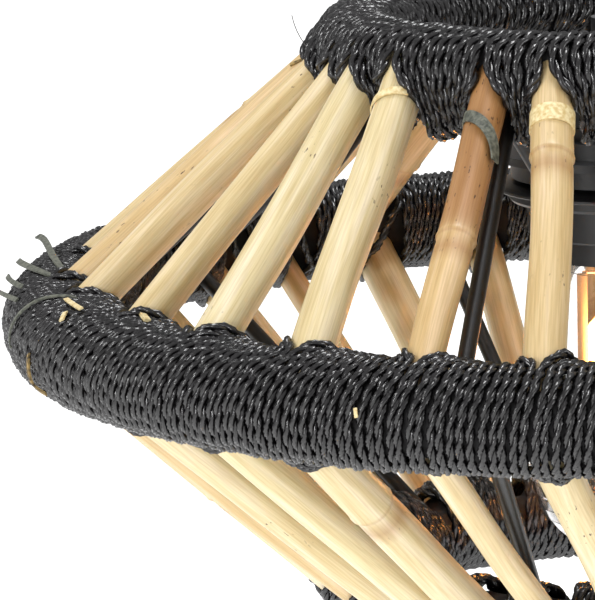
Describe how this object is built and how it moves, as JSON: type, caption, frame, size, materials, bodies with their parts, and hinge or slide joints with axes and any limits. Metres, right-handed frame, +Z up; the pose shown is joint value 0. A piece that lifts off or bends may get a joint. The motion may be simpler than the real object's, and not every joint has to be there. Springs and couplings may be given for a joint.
{
  "type": "pendant lamp",
  "caption": "Double-cone pendant lamp of bamboo canes bound with black cord to three steel hoops, hung on a screw lampholder with a clear bulb.",
  "frame": {"origin": "centre of the cord entry's mouth, on top of the lampholder", "axes": "+Z up along the lamp's axis, out of the cord entry; -Y the front"},
  "size_m": [0.306, 0.306, 0.156],
  "materials": {
    "wire": "black powder coat, satin",
    "cord": "twisted two-ply cord, glossy black",
    "cane": "bare bamboo cane with a waxy skin",
    "holder": "moulded black thermoplastic",
    "block": "unglazed steatite",
    "brass": "stamped strip",
    "nickel": "nickel-plated",
    "glass": "clear",
    "insulator": "black vitrite",
    "filament": "phosphor coating"
  },
  "bodies": {
    "lamp": {"top_hoop": "wire", "middle_hoop": "wire", "bottom_hoop": "wire", "upper_struts": "wire", "lower_struts": "wire", "hub_ring": "wire", "hub_arms": "wire", "top_binding": "cord", "middle_binding": "cord", "bottom_binding": "cord", "upper_canes_01": "cane", "upper_canes_02": "cane", "upper_canes_03": "cane", "upper_canes_04": "cane", "upper_canes_05": "cane", "upper_canes_06": "cane", "upper_canes_07": "cane", "upper_canes_08": "cane", "upper_canes_09": "cane", "upper_canes_10": "cane", "lower_canes_01": "cane", "lower_canes_02": "cane", "lower_canes_03": "cane", "lower_canes_04": "cane", "lower_canes_05": "cane", "lower_canes_06": "cane", "lower_canes_07": "cane", "lower_canes_08": "cane", "lower_canes_09": "cane", "lower_canes_10": "cane", "holder_cap": "holder", "cord_grip": "holder", "grip_screw": "nickel", "holder_skirt": "holder", "contact_block": "block", "screw_shell": "nickel", "centre_contact": "brass", "side_contact": "brass", "terminal_screws": "nickel"},
    "upper_ring": {"upper_shade_ring": "holder"},
    "lower_ring": {"lower_shade_ring": "holder"},
    "bulb_envelope": {"bulb_glass": "glass"},
    "bulb_core": {"bulb_base": "nickel", "bulb_insulator": "insulator", "bulb_tip": "nickel", "bulb_stem": "glass", "bulb_filaments": "filament", "bulb_lead_wires": "nickel"}
  },
  "joints": [
    {"name": "upper_ring_travel", "type": "slide", "parent": "lamp", "child": "upper_ring", "axis": [0, 0, 1], "range_m": [0, 0.0027]},
    {"name": "lower_ring_travel", "type": "slide", "parent": "lamp", "child": "lower_ring", "axis": [0, 0, -1], "range_m": [0, 0.0215]},
    {"name": "bulb_travel", "type": "slide", "parent": "lamp", "child": "bulb_envelope", "axis": [0, 0, -1], "range_m": [0, 0.0254]},
    {"name": "bulb_turn", "type": "hinge", "parent": "bulb_envelope", "child": "bulb_core", "pos_m": [0, 0, -0.059], "axis": [0, 0, -1], "range_deg": [0, 2520]}
  ],
  "couplings": [
    {"joint": "bulb_turn", "follows": "bulb_travel", "rad_per_m": 1731.6}
  ]
}
